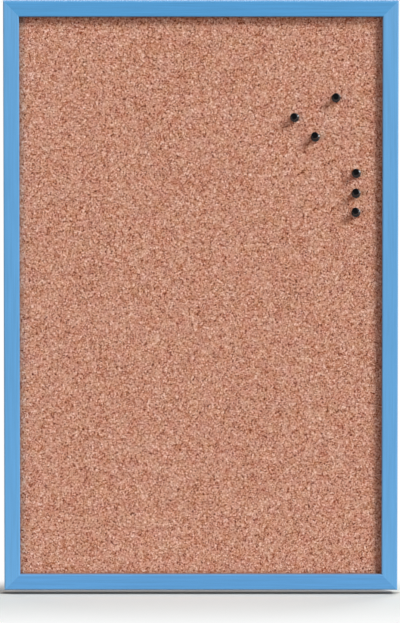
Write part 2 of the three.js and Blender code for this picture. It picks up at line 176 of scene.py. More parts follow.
def carried(tree, number, band, onto=(0.0, 1.0), **settings):
    """A number carried in proportion from one band of values onto another, and held at its ends."""
    sockets = dict(enumerate((number, *band, *onto)))
    return add(tree, "ShaderNodeMapRange", sockets, **settings).outputs["Result"]


def blend(tree, share, first, second):
    """The first colour with a share of the second."""
    return add(tree, "ShaderNodeMix", {0: share, 6: first, 7: second}, data_type="RGBA").outputs[2]


def blend_numbers(tree, share, first, second):
    """The first number with a share of the second."""
    return add(tree, "ShaderNodeMix", {0: share, 2: first, 3: second}).outputs[0]


def noise(tree, place, size, output="Fac", detail=2.0, roughness=0.5, distortion=0.0):
    """Cloudy noise with patches of a size. The output Color gives three such noises at once."""
    sockets = {
        "Vector": place,
        "Scale": 1 / size,
        "Detail": detail,
        "Roughness": roughness,
        "Distortion": distortion,
    }
    return add(tree, "ShaderNodeTexNoise", sockets).outputs[output]


def stretched(tree, place, sizes):
    """Places counted in a size of their own along each axis, for noise that runs longer one way."""
    sockets = {"Vector": place, "Scale": [1 / size for size in sizes]}
    return add(tree, "ShaderNodeMapping", sockets).outputs["Vector"]


def shaded(tree, colour, factor):
    """A hex colour made lighter or darker by a factor."""
    sockets = {"Value": factor, "Color": linear(colour)}
    return add(tree, "ShaderNodeHueSaturation", sockets).outputs["Color"]


def toned(tree, number, tones):
    """The colour of a number from 0 to 1 on a scale of tones, each a place and a hex colour."""
    made = add(tree, "ShaderNodeValToRGB", {"Fac": number})
    scale = made.color_ramp.elements
    for place, _ in tones[1:-1]:
        scale.new(place)
    for element, (place, colour) in zip(scale, tones):
        element.position = place
        element.color = linear(colour)
    return made.outputs["Color"]


def raised(tree, heights, relief):
    """The normal of a face on which heights from 0 to 1 stand out by a relief."""
    sockets = {"Height": heights, "Strength": 1.0, "Distance": relief}
    return add(tree, "ShaderNodeBump", sockets).outputs["Normal"]


def dress(node_names, material):
    """Gives CAD nodes that keep their shape a finished material."""
    for node_name in node_names:
        slots = frame["nodes"][node_name].data.materials
        slots.clear()
        slots.append(material)


def brushed_lacquer(name, colour, lying, browned):
    """Low satin lacquer, brushed along the rail: soft streaks of tone and gloss, a paler tone that grows
    with the square of the distance from the rail's middle, a paler line along the two front edges that is
    partly worn lacquer and partly a painted highlight, and on the browned rail a darker brown on its
    ledge, thickest next to the cork. A point's place in the rail's section is its distance from the outer
    side and its depth behind the front, taken from the frame's front corner."""
    material, tree, place = new_material(name)
    streak_size = (STREAK_WIDTH, STREAK_WIDTH, STREAK_LENGTH)
    drawn = stretched(tree, place, streak_size[::-1] if lying else streak_size)
    streak = noise(tree, drawn, 1.0, detail=3.0, roughness=0.6)
    tone = carried(tree, streak, STREAK_BAND, (1 - STREAK_TONE, 1 + STREAK_TONE))

    run = (1.0, 0.0, 0.0) if lying else (0.0, 0.0, 1.0)
    along = worked_out_vector(tree, "MULTIPLY", place, run)
    squared = worked_out_vector(tree, "DOT_PRODUCT", along, along, output="Value")
    end_pale = carried(tree, squared, (0.0, rail_high.z**2), (0.0, END_PALE_SHARE))
    paled = blend(tree, end_pale, shaded(tree, colour, tone), linear(END_PALE_TONE))

    across = (0.0, 1.0, 1.0) if lying else (1.0, 1.0, 0.0)
    inner_edge = (0.0, 0.0, rail_face) if lying else (rail_face, 0.0, 0.0)
    inwards = inside_corner(tree, front_corner, place)
    section = worked_out_vector(tree, "MULTIPLY", inwards, across)
    to_outer = worked_out_vector(tree, "LENGTH", section, output="Value")
    to_inner = worked_out_vector(tree, "DISTANCE", section, inner_edge, output="Value")
    nearest = worked_out(tree, "MINIMUM", to_outer, to_inner)
    worn_and_lit = carried(tree, nearest, ARRIS_WEAR_AND_HIGHLIGHT, (WORN_HIGHLIGHT_SHARE, 0.0))
    # a paler line along the front edges: worn lacquer and a painted highlight
    paint = blend(tree, worked_out(tree, "MULTIPLY", worn_and_lit, streak), paled, linear(WORN_HIGHLIGHT_TONE))
    if browned:
        inside = split(tree, inwards)
        ledge = worked_out(tree, "GREATER_THAN", inside["Z"], rail_face - LEDGE_EDGE)
        thick = carried(tree, inside["Y"], LEDGE_BROWN_DEPTH, (0.0, LEDGE_BROWN_SHARE))
        paint = blend(tree, worked_out(tree, "MULTIPLY", ledge, thick), paint, linear(LEDGE_BROWN))
    surface(
        tree,
        {
            "Base Color": paint,
            "Roughness": carried(tree, streak, STREAK_BAND, LACQUER_ROUGHNESS),
            "IOR": LACQUER_IOR,
            "Specular IOR Level": LACQUER_GLOSS,
            "Sheen Weight": LACQUER_FILM,
            "Sheen Roughness": LACQUER_FILM_ROUGHNESS,
            "Normal": raised(tree, streak, STREAK_RELIEF),
        },
    )
    return material


rail_low, rail_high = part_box("rail_top")
rail_face = rail_high.z - rail_low.z
rail_depth = rail_high.y - rail_low.y
frame_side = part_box("rail_right")[1].x  # the top rail stops half a glue line short of it
front_corner = (frame_side, -rail_low.y, rail_high.z)
for rail_name, rail_tone_and_light in RAIL_PAINT_AND_LIGHT_TONES.items():
    lying = rail_name in LYING_RAILS
    lacquer = brushed_lacquer("brushed_lacquer_" + rail_name, rail_tone_and_light, lying, rail_name == BROWNED_RAIL)
    dress([rail_name], lacquer)

# Glue lines
# Wood glue fills each mitre from front to back. The lacquer was wiped over it when the frame was put
# together, so from the front a mitre shows as a change of tone and a faint line.

LIP_DEPTH = 9 * MM
LIP_WIDTH = 5 * MM
ARRIS = 1.5 * MM  # radius of the rounded front edges
ARRIS_STEPS = 8
GLUE_HALF = 0.1 * MM  # half its thickness across the mitre
GLUE_CORE = 0.8  # share of its width that lies flat
GLUE_SUNK = 0.02 * MM  # how far the glue lies below the faces of the rails
GLUE_BACK = 0.5 * MM  # and below their backs
# lighter than the rails: partly the glue's own tone, and partly painted light that offsets the shade in
# its sunk line
LIFTED_GLUE_TONE = "#6fafe0"
GLUE_PATCH = 3 * MM
GLUE_SHADES = (0.92, 1.06)  # of its darkest and lightest patches
GLUE_ROUGHNESS = 0.65
CLOUD_BAND = (0.3, 0.7)  # cloudy noise seldom leaves these values
CORNERS = {"top_left": (-1, 1), "top_right": (1, 1), "bottom_right": (1, -1), "bottom_left": (-1, -1)}


def piece(name, points, faces, body, replaced, material):
    """A smooth mesh piece that moves with a body and stands for the CAD nodes that it replaces."""
    mesh = bpy.data.meshes.new(name)
    mesh.from_pydata(points.tolist(), [], faces)
    mesh.polygons.foreach_set("use_smooth", np.ones(len(mesh.polygons), bool))
    mesh.materials.append(material)
    mesh.update()
    made = bpy.data.objects.new(name, mesh)
    bpy.context.scene.collection.objects.link(made)
    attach(made, body)
    if replaced:
        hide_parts(*replaced)
    return made


def skin(rings, loop=False):
    """Points and faces over rings of points, ring by ring: quads join neighbours, and a fan closes each
    end unless the last ring meets the first in a loop."""
    count, around = rings.shape[:2]
    numbers = np.arange(count * around).reshape(count, around)
    beside = np.roll(numbers, -1, axis=1)
    here, there = (numbers, np.roll(numbers, -1, axis=0)) if loop else (numbers[:-1], numbers[1:])
    here_beside, there_beside = np.roll(here, -1, axis=1), np.roll(there, -1, axis=1)
    faces = np.stack([here, here_beside, there_beside, there], axis=-1).reshape(-1, 4).tolist()
    points = rings.reshape(-1, 3)
    if not loop:
        points = np.concatenate([points, rings[[0, -1]].mean(axis=1)])
        middle = np.full(around, count * around)
        faces += np.stack([middle, beside[0], numbers[0]], axis=-1).tolist()
        faces += np.stack([middle + 1, numbers[-1], beside[-1]], axis=-1).tolist()
    return points, faces


def outwards(points, faces):
    """The same faces, turned over if the volume that they enclose comes out negative."""
    fans = [(face[0], face[i], face[i + 1]) for face in faces for i in range(1, len(face) - 1)]
    corners = points[np.array(fans)] - points.mean(axis=0)
    volume = np.einsum("ij,ij->i", corners[:, 0], np.cross(corners[:, 1], corners[:, 2])).sum()
    return faces if volume > 0 else [face[::-1] for face in faces]


def ringed_piece(name, rings, body, replaced, material, loop=False):
    """A piece whose surface is a skin over rings of points."""
    points, faces = skin(rings, loop)
    return piece(name, points, outwards(points, faces), body, replaced, material)


def wiped_glue(name):
    """Dried wood glue under a wiped coat of lacquer: a lighter blue than the rails, partly painted light,
    a little patchy, and dull.
    """
    material, tree, place = new_material(name)
    factor = carried(tree, noise(tree, place, GLUE_PATCH), CLOUD_BAND, GLUE_SHADES)
    surface(
        tree,
        {
            "Base Color": shaded(tree, LIFTED_GLUE_TONE, factor),
            "Roughness": GLUE_ROUGHNESS,
            "Specular IOR Level": LACQUER_GLOSS,
        },
    )
    return material


glue = wiped_glue("wiped_wood_glue")
sweep = np.linspace(0, np.pi / 2, ARRIS_STEPS)
edge_round = ARRIS - GLUE_SUNK
lip_back = LIP_DEPTH - GLUE_SUNK
rebate = rail_face - LIP_WIDTH - GLUE_SUNK

# a sheet of glue has the outline of a rail's section, drawn in a little, and stands on the diagonal: each
# point lies as far in from the frame's side as from its end, and shifts across the mitre by the thickness
glue_inwards = np.concatenate([
    [GLUE_SUNK],
    ARRIS - edge_round * np.cos(sweep),
    rail_face - ARRIS + edge_round * np.sin(sweep),
    [rail_face - GLUE_SUNK, rebate, rebate],
])
glue_depth = np.concatenate([
    [rail_depth - GLUE_BACK],
    ARRIS - edge_round * np.sin(sweep),
    ARRIS - edge_round * np.cos(sweep),
    [lip_back, lip_back, rail_depth - GLUE_BACK],
])
shift = GLUE_HALF * np.array([-1, -GLUE_CORE, GLUE_CORE, 1])[:, None] / math.sqrt(2)
for corner, (across, upright) in CORNERS.items():
    sheet = np.stack(
        [
            across * np.minimum(frame_side - glue_inwards + shift, frame_side - GLUE_SUNK),
            rail_low.y + glue_depth + 0 * shift,
            upright * np.minimum(rail_high.z - glue_inwards - shift, rail_high.z - GLUE_SUNK),
        ],
        axis=-1,
    )
    ringed_piece("mitre_glue_" + corner, sheet, "board", [], glue)

# V nails and retaining points
# Strip steel, stamped and zinc plated. The V nails are driven across the mitres from behind, and the
# flat points are shot into the rails over the edge of the panel to hold it in the rebate.

ZINC = "#b4b7bb"
ZINC_CLOUD = 1.6 * MM  # size of a patch of plating
ZINC_TONE = 0.08
ZINC_ROUGHNESS = (0.26, 0.42)
ZINC_RELIEF = 0.01 * MM


def plated_steel(name, colour, cloud, tone, roughness, relief):
    """Plated steel strip or wire: a cold grey metal, clouded where the plating took differently."""
    material, tree, place = new_material(name)
    patch = noise(tree, place, cloud, detail=4.0, roughness=0.65)
    surface(
        tree,
        {
            "Base Color": shaded(tree, colour, carried(tree, patch, CLOUD_BAND, (1 - tone, 1 + tone))),
            "Metallic": 1.0,
            "Roughness": carried(tree, patch, CLOUD_BAND, roughness),
            "Normal": raised(tree, patch, relief),
        },
    )
    return material


zinc = plated_steel("zinc_plated_steel", ZINC, ZINC_CLOUD, ZINC_TONE, ZINC_ROUGHNESS, ZINC_RELIEF)
dress([name for name in frame["nodes"] if name.startswith(("v_nail_", "retaining_point_"))], zinc)

# Softboard core
# A sheet of soft wood fibreboard between the cork and the backing, glued to both. The needles of the
# pins end in it. Only its edges could ever be seen, with the panel out of the frame.

SOFTBOARD_TONES = ((0.3, "#8d7350"), (0.5, "#a98d66"), (0.72, "#c3a981"))
SOFTBOARD_ROUGHNESS = 0.95
FIBRE_LENGTH = 4 * MM
FIBRE_WIDTH = 0.35 * MM
FIBRE_RELIEF = 0.15 * MM


def pressed_softboard(name):
    """Loosely pressed wood fibre: short tangled fibres in light and dark tones, dull all over."""
    material, tree, place = new_material(name)
    laid = stretched(tree, place, (FIBRE_LENGTH, FIBRE_WIDTH, FIBRE_LENGTH))
    tangle = noise(tree, laid, 1.0, detail=4.0, roughness=0.7, distortion=1.2)
    surface(
        tree,
        {
            "Base Color": toned(tree, tangle, SOFTBOARD_TONES),
            "Roughness": SOFTBOARD_ROUGHNESS,
            "Normal": raised(tree, tangle, FIBRE_RELIEF),
        },
    )
    return material


dress(["softboard_core"], pressed_softboard("pressed_softboard"))

# Cork sheet
# Cork bark ground to granules, pressed with a binder and sliced, then glued to the core. The cut leaves
# granules of many tones, dark bark flecks, small pits and a soft relief. Each pin has pricked a hole.

CORK_CELL = 1.55 * MM  # spacing of the relief
CORK_RELIEF = 0.13 * MM  # spread of the relief, which only goes inwards from the sheet's face
CORK_WAVE = 0.3  # share of the relief that is broad, next to the fine one
RELIEF_WIDTHS = (0.7, 3.0)  # of the fine and the broad relief, in cells
RELIEF_SEEDS = (11, 12)
RELIEF_LIMIT = 1.5  # the relief is cut off at this many spreads, up and down
PIT_DEPTH = 0.25 * MM
PIT_SHARE = 0.012
PIT_SEED = 13
COLLAR_CELLS = 6  # cells on a side of the block that is drawn in towards a pin's hole
COLLAR_RINGS = 6
HOLE_RADIUS = 0.58 * MM
GRANULES = (1.5 * MM, 0.9 * MM)  # coarse and fine
FINE_SHARE = 0.5
CHANCE_BAND = (0.12, 0.88)  # a granule's chance, mixed from two, seldom leaves these values
GRANULE_RELIEF = 0.15 * MM
CORK_TONES = (
    (0.0, "#561a06"),
    (0.1, "#944d2f"),
    (0.4, "#c1876e"),
    (0.7, "#d49d85"),
    (0.92, "#e0b19c"),
    (1.0, "#f3cebc"),
)
HUE_PATCH = 14 * MM  # size of the patches that lean to red or to green
HUE_SWING = 0.015
SATURATION_SWING = 0.15
CORK_ROUGHNESS = 0.9
CORK_GLOSS = 0.15  # open pores leave the cut face little shine
FRAME_SHADE = "#5f3c2d"  # painted shade along the frame's inner edge, most in its corners
FRAME_SHADE_WIDTH = 4 * MM
FRAME_SHADE_SHARE = 0.35


def smooth_noise(shape, width, seed):
    """Smooth random heights of unit spread on a grid: white noise blurred, through its spectrum, by a
    bell curve that is width cells wide. The grid repeats at its edges."""
    spectrum = np.fft.fft2(np.random.default_rng(seed).standard_normal(shape))
    pitch = np.hypot(np.fft.fftfreq(shape[0])[:, None], np.fft.fftfreq(shape[1])[None, :])
    heights = np.fft.ifft2(spectrum * np.exp(-2 * (np.pi * width * pitch) ** 2)).real
    return heights / heights.std()


def joint_of(body):
    """The joint that carries a body."""
    return next(joint for joint in frame["joints"] if joint["child"] == body)


def points_of(node_name):
    """The points of a CAD node's mesh as an array."""
    vertices = frame["nodes"][node_name].data.vertices
    points = np.empty(len(vertices) * 3)
    vertices.foreach_get("co", points)
    return points.reshape(-1, 3)


def box_of(node_name):
    """The low and the high corner of a CAD node's box as arrays."""
    return [np.array(corner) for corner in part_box(node_name)]


def pin_line(pin):
    """The tip of a pin's needle and the direction that the pin pulls out in."""
    axis = np.array(joint_of(pin)["axis"])
    points = points_of(pin + "_needle")
    return points[np.argmin(points @ axis)], axis


def granulated_cork(name):
    """Pressed cork granules, sliced: two sizes of granule, each in its own tone from bark brown to pale
    tan, with wavering edges and a tint that drifts between red and green, with painted shade along the
    frame, most in its corners, and quite dull."""
    material, tree, place = new_material(name)
    coarse = GRANULES[0]
    wobble = noise(tree, place, coarse, output="Color")
    centred = worked_out_vector(tree, "SUBTRACT", wobble, (0.5, 0.5, 0.5))
    pushed = worked_out_vector(tree, "MULTIPLY_ADD", centred, (coarse, coarse, coarse), place)
    chances = []
    for size in GRANULES:
        cells = add(tree, "ShaderNodeTexVoronoi", {"Vector": pushed, "Scale": 1 / size})
        chance = add(tree, "ShaderNodeTexWhiteNoise", {"Vector": cells.outputs["Position"]})
        chances.append(chance.outputs["Value"])
    granule = carried(tree, blend_numbers(tree, FINE_SHARE, *chances), CHANCE_BAND)

    patch = noise(tree, place, HUE_PATCH, output="Color")
    drift = add(tree, "ShaderNodeSeparateColor", {"Color": patch}).outputs
    swings = (1 - SATURATION_SWING, 1 + SATURATION_SWING)
    tinted = add(
        tree,
        "ShaderNodeHueSaturation",
        {
            "Hue": carried(tree, drift["Red"], (0.0, 1.0), (0.5 - HUE_SWING, 0.5 + HUE_SWING)),
            "Saturation": carried(tree, drift["Green"], (0.0, 1.0), swings),
            "Color": toned(tree, granule, CORK_TONES),
        },
    )

    # painted shade: darker within a few millimetres of the frame, and twice as dark in its corners
    from_frame = split(tree, inside_corner(tree, window_corner, place))
    along_sides, along_ends = (
        carried(tree, from_frame[axis], (0.0, FRAME_SHADE_WIDTH), (FRAME_SHADE_SHARE, 0.0)) for axis in "XZ"
    )
    painted_shade = worked_out(tree, "ADD", along_sides, along_ends)
    surface(
        tree,
        {
            "Base Color": blend(tree, painted_shade, tinted.outputs["Color"], linear(FRAME_SHADE)),
            "Roughness": CORK_ROUGHNESS,
            "Specular IOR Level": CORK_GLOSS,
            "Normal": raised(tree, granule, GRANULE_RELIEF),
        },
    )
    return material


window_corner = (frame_side - rail_face, 0.0, rail_high.z - rail_face)
pins = [body for body in frame["bodies"] if body.startswith("pin_")]
cork_low, cork_high = box_of("cork_sheet")
cork_size = cork_high - cork_low
columns = round(cork_size[0] / CORK_CELL) + 1
rows = round(cork_size[2] / CORK_CELL) + 1
fine, broad = (smooth_noise((rows, columns), *settings) for settings in zip(RELIEF_WIDTHS, RELIEF_SEEDS))
relief = fine + CORK_WAVE * broad
relief = CORK_RELIEF * np.clip(relief / relief.std() + RELIEF_LIMIT, 0, 2 * RELIEF_LIMIT)
relief = relief + PIT_DEPTH * (np.random.default_rng(PIT_SEED).random((rows, columns)) < PIT_SHARE)
grid_x, grid_z = np.meshgrid(
    np.linspace(cork_low[0], cork_high[0], columns), np.linspace(cork_low[2], cork_high[2], rows)
)
cork_face = np.stack([grid_x, cork_low[1] + relief, grid_z], axis=-1)

row_at, column_at = np.meshgrid(np.arange(rows - 1), np.arange(columns - 1), indexing="ij")
corner_at = row_at * columns + column_at
quads = np.stack([corner_at, corner_at + 1, corner_at + columns + 1, corner_at + columns], axis=-1)
kept = np.ones((rows - 1, columns - 1), bool)

# round each pin a block of cells gives way to a collar, drawn in ring by ring to the pricked hole
cork_points = [cork_face.reshape(-1, 3)]
cork_faces = []
open_rims = []
count = rows * columns
for pin in pins:
    tip, axis = pin_line(pin)
    foot = tip + axis * (cork_low[1] - tip[1]) / axis[1]
    share = (foot - cork_low) / cork_size
    first_column = round(share[0] * (columns - 1)) - COLLAR_CELLS // 2
    first_row = round(share[2] * (rows - 1)) - COLLAR_CELLS // 2
    kept[first_row : first_row + COLLAR_CELLS, first_column : first_column + COLLAR_CELLS] = False
    step = np.arange(COLLAR_CELLS)
    side = np.full(COLLAR_CELLS, COLLAR_CELLS)
    round_columns = first_column + np.concatenate([step, side, side - step, 0 * step])
    round_rows = first_row + np.concatenate([0 * step, step, side, side - step])
    rim = cork_face[round_rows, round_columns]
    bearing = np.arctan2(rim[:, 2] - foot[2], rim[:, 0] - foot[0])
    hole = foot + HOLE_RADIUS * np.stack([np.cos(bearing), 0 * bearing, np.sin(bearing)], axis=-1)
    drawn_in = (np.arange(1, COLLAR_RINGS + 1) / COLLAR_RINGS)[:, None, None]
    collar = rim + (hole - rim) * drawn_in
    bottom = hole + axis * cork_size[1] / axis[1]
    cork_points.append(np.concatenate([collar.reshape(-1, 3), bottom]))
    around = len(rim)
    numbers = count + np.arange((COLLAR_RINGS + 1) * around).reshape(-1, around)
    numbers = np.concatenate([(round_rows * columns + round_columns)[None], numbers])
    beside = np.roll(numbers, -1, axis=1)
    wall = np.stack([numbers[:-1], beside[:-1], beside[1:], numbers[1:]], axis=-1)
    cork_faces.append(wall.reshape(-1, 4))
    open_rims.append(numbers[-1])
    count += (COLLAR_RINGS + 1) * around
cork_faces.append(quads[kept])

# the sheet's four edges run straight back, and one flat face closes its back
edge = np.concatenate([
    np.arange(columns - 1),
    np.arange(rows - 1) * columns + columns - 1,
    rows * columns - 1 - np.arange(columns - 1),
    (rows - 1 - np.arange(rows - 1)) * columns,
])
edge_back = cork_points[0][edge].copy()
edge_back[:, 1] = cork_high[1]
cork_points.append(edge_back)
edge_numbers = count + np.arange(len(edge))
cork_faces.append(np.stack([edge, edge_numbers, np.roll(edge_numbers, -1), np.roll(edge, -1)], axis=-1))
open_rims.append(edge_numbers)

cork = piece(
    "granulated_cork_sheet",
    np.concatenate(cork_points),
    np.concatenate(cork_faces).tolist(),
    "board",
    ["cork_sheet"],
    granulated_cork("granulated_cork"),
)
shell = bmesh.new()
shell.from_mesh(cork.data)
shell.verts.ensure_lookup_table()
back_edges = [
    shell.edges.get((shell.verts[start], shell.verts[end]))
    for open_rim in open_rims
    for start, end in zip(open_rim, np.roll(open_rim, -1))
]
bmesh.ops.triangle_fill(shell, edges=back_edges, use_beauty=True)
loose = [vertex for vertex in shell.verts if not vertex.link_faces]
bmesh.ops.delete(shell, geom=loose, context="VERTS")
bmesh.ops.recalc_face_normals(shell, faces=shell.faces)
shell.to_mesh(cork.data)
shell.free()

# Hardboard backing
# A thin sheet of hardboard glued to the back of the core. It was pressed on a wire screen, which leaves
# a small woven pattern on its brown back.

HARDBOARD_TONES = ((0.3, "#664a34"), (0.5, "#7c5b41"), (0.7, "#936e50"))
HARDBOARD_ROUGHNESS = 0.7
HARDBOARD_CLUMP = 9 * MM  # the largest clumps of fibre, with finer ones down to single fibres
SCREEN_PITCH = 3.2 * MM  # about twice as coarse as a real screen, which is too fine to show
SCREEN_RELIEF = 0.12 * MM
SCREEN_SHARE = 0.35  # how much of the tone comes from the screen's marks


def screen_pressed_hardboard(name):
    """Hard pressed wood fibre: mottled brown, with the marks of the screen that it was pressed on, which
    are the product of two sine waves, one along x and one along z."""
    material, tree, place = new_material(name)
    turns = 2 * math.pi / SCREEN_PITCH
    phase = worked_out_vector(tree, "MULTIPLY", place, (turns, turns, turns))
    wave = split(tree, worked_out_vector(tree, "SINE", phase))
    mark = carried(tree, worked_out(tree, "MULTIPLY", wave["X"], wave["Z"]), (-1.0, 1.0))
    mottle = noise(tree, place, HARDBOARD_CLUMP, detail=6.0, roughness=0.8)
    mixed = blend_numbers(tree, SCREEN_SHARE, mottle, mark)
    surface(
        tree,
        {
            "Base Color": toned(tree, mixed, HARDBOARD_TONES),
            "Roughness": HARDBOARD_ROUGHNESS,
            "Normal": raised(tree, mark, SCREEN_RELIEF),
        },
    )
    return material


dress(["backing_panel"], screen_pressed_hardboard("screen_pressed_hardboard"))

# Strap hangers
# Each is a strip of zinc plated steel, rolled into an eye round the bar of a D ring of bent wire, and
# screwed to the back of a side rail by a domed screw with a cross recess. The ring swings in the eye.

STRAP_THICKNESS = 0.8 * MM
STRAP_CORNER = 1.5 * MM
STRAP_START = 0.15  # turn of the first ring round the lower corners, in radians
STRAP_SQUARE = (0.18, 0.35)  # powers that square up the strip's section, across it and through it
STRAP_STEPS = {"corner": 10, "climb": 12, "eye": 44, "around": 48}
EYE_TURN = math.radians(285)  # how far the strip is rolled round the ring
RING_CORNER = 1.2 * MM
RING_STEPS = {"bar": 12, "bend": 10, "leg": 6, "bow": 40, "around": 24}
SCREW_SHANK = 1.4 * MM  # radius
SCREW_POINT = 0.05 * MM
SCREW_TIP = 3 * MM
SCREW_EDGE = 0.8 * MM
SCREW_DOME = 1.0 * MM
SCREW_SOFT = 0.1 * MM
SCREW_STEPS = {"dome": 40, "around": 96}
CROSS_LENGTH = 3.2 * MM
CROSS_WIDTH = 0.8 * MM
CROSS_DEPTH = 1.0 * MM
CROSS_SLOPES = (0.3 * MM, 0.15 * MM)  # how soft the recess is at the ends and at the sides of its arms


def rolled_strap(pivot, low, half_width):
    """Rings of the strip. Its path climbs the rail from its rounded lower end and then turns round the
    pivot. A ring's section is a rounded oblong, cosine and sine raised to small powers, that stands
    across the path."""
    middle = low[1] + STRAP_THICKNESS / 2
    eye_radius = pivot[1] - middle
    rise = pivot[2] - low[2]
    lower_end = STRAP_CORNER * (1 - np.cos(np.linspace(STRAP_START, np.pi / 2, STRAP_STEPS["corner"])))
    climb = np.concatenate([lower_end, np.linspace(STRAP_CORNER, rise, STRAP_STEPS["climb"])[1:]])
    turn = np.linspace(0, EYE_TURN, STRAP_STEPS["eye"])[1:]
    straight = np.ones(len(climb))
    path_y = np.concatenate([middle * straight, pivot[1] - eye_radius * np.cos(turn)])[:, None]
    path_z = np.concatenate([low[2] + climb, pivot[2] + eye_radius * np.sin(turn)])[:, None]
    normal_y = np.concatenate([-straight, -np.cos(turn)])[:, None]
    normal_z = np.concatenate([0 * straight, np.sin(turn)])[:, None]
    cut_in = np.clip(1 - np.concatenate([climb, rise + turn]) / STRAP_CORNER, 0, 1)
    half = half_width - STRAP_CORNER * (1 - np.sqrt(1 - cut_in[:, None] ** 2))
    angle = np.linspace(0, 2 * np.pi, STRAP_STEPS["around"], endpoint=False)
    flat, thick = (
        np.sign(wave) * np.abs(wave) ** power
        for wave, power in zip((np.cos(angle), np.sin(angle)), STRAP_SQUARE)
    )
    thick = thick * STRAP_THICKNESS / 2
    ring_y = path_y + normal_y * thick
    ring_z = path_z + normal_z * thick
    return np.stack([pivot[0] + half * flat, ring_y, ring_z], axis=-1)


def bent_wire(pivot, half_ring, reach, wire):
    """Rings along the D ring's wire: the bar on the pivot, a bend, a leg, a round bow and the same back,
    with a circle of the wire's radius across the path at each point."""
    corner = half_ring - RING_CORNER
    bend = np.linspace(-np.pi / 2, 0, RING_STEPS["bend"])
    bow = np.linspace(0, np.pi, RING_STEPS["bow"])
    bar = np.linspace(-corner, corner, RING_STEPS["bar"])[1:-1]
    leg = np.linspace(RING_CORNER, reach - half_ring, RING_STEPS["leg"])[1:-1]
    across = np.concatenate([
        bar,
        corner + RING_CORNER * np.cos(bend),
        half_ring + 0 * leg,
        half_ring * np.cos(bow),
        -half_ring + 0 * leg,
        -corner - RING_CORNER * np.cos(bend[::-1]),
    ])
    down = np.concatenate([
        0 * bar,
        RING_CORNER + RING_CORNER * np.sin(bend),
        leg,
        reach - half_ring + half_ring * np.sin(bow),
        leg[::-1],
        RING_CORNER + RING_CORNER * np.sin(bend[::-1]),
    ])
    along = np.stack([np.roll(across, -1) - np.roll(across, 1), np.roll(down, -1) - np.roll(down, 1)])
    along = (along / np.hypot(*along))[:, :, None]
    angle = np.linspace(0, 2 * np.pi, RING_STEPS["around"], endpoint=False)
    return np.stack(
        [
            pivot[0] + across[:, None] + along[1] * wire * np.cos(angle),
            pivot[1] + wire * np.sin(angle) + 0 * along[0],
            pivot[2] - down[:, None] + along[0] * wire * np.cos(angle),
        ],
        axis=-1,
    )


def round_rings(base, axis, radius, height, around):
    """Rings of a turned shape: at each height along the axis from the base, a circle of that radius."""
    out = np.cross(axis, (0.0, 0.0, 1.0))
    out = out / np.linalg.norm(out)
    up = np.cross(axis, out)
    angle = np.linspace(0, 2 * np.pi, around, endpoint=False)
    spoke = np.cos(angle)[:, None] * out + np.sin(angle)[:, None] * up
    return base + height[:, None, None] * axis + radius[:, None, None] * spoke


def cross_head_screw(low, high):
    """Rings of the screw, turned about y: a point, a shank, and a head with a domed top. The cross is
    pressed into the dome to its depth, with steep sides, along two bars."""
    middle = (low + high) / 2
    head = (high[0] - low[0]) / 2
    long = high[1] - low[1]
    seat = long - SCREW_DOME - SCREW_EDGE
    dome = np.linspace(0, np.pi / 2, SCREW_STEPS["dome"])[1:-1]
    radius = np.concatenate([
        [SCREW_POINT, SCREW_SHANK, SCREW_SHANK, head - SCREW_SOFT, head, head],
        head * np.cos(dome),
    ])
    height = np.concatenate([
        [0, SCREW_TIP, seat, seat, seat + SCREW_SOFT, seat + SCREW_EDGE],
        seat + SCREW_EDGE + SCREW_DOME * np.sin(dome),
    ])
    base = np.array([middle[0], low[1], middle[2]])
    rings = round_rings(base, np.array([0.0, 1.0, 0.0]), radius, height, SCREW_STEPS["around"])
    side_x, side_z = np.abs(rings[..., 0] - base[0]), np.abs(rings[..., 2] - base[2])
    end_slope, side_slope = CROSS_SLOPES
    bars = [
        np.clip((CROSS_LENGTH / 2 - along) / end_slope, 0, 1)
        * np.clip((CROSS_WIDTH / 2 - beside) / side_slope, 0, 1)
        for along, beside in ((side_x, side_z), (side_z, side_x))
    ]
    rings[..., 1] -= CROSS_DEPTH * np.maximum(*bars) * (height > seat + SCREW_EDGE)[:, None]
    return rings


for side in ("left", "right"):
    ring_body = "ring_" + side
    pivot = np.array(joint_of(ring_body)["pos_m"])
    strap_node, ring_node, screw_node = (f"hanger_{side}_{part}" for part in ("strap", "ring", "screw"))
    strap_low, strap_high = box_of(strap_node)
    strap = rolled_strap(pivot, strap_low, (strap_high[0] - strap_low[0]) / 2)
    ringed_piece("rolled_strap_" + side, strap, "board", [strap_node], zinc)

    ring_low, ring_high = box_of(ring_node)
    wire = (ring_high[1] - ring_low[1]) / 2
    half_ring = (ring_high[0] - ring_low[0]) / 2 - wire
    ring = bent_wire(pivot, half_ring, pivot[2] - ring_low[2] - wire, wire)
    ringed_piece("bent_wire_ring_" + side, ring, ring_body, [ring_node], zinc, loop=True)

    screw = cross_head_screw(*box_of(screw_node))
    ringed_piece("cross_head_screw_" + side, screw, "board", [screw_node], zinc)

# Push pins
# Each is a steel needle with a black plastic grip moulded on: a thin flange that slopes up to a drawn-in
# waist, and a flared head. They were pushed in by hand, so each leans its own way.

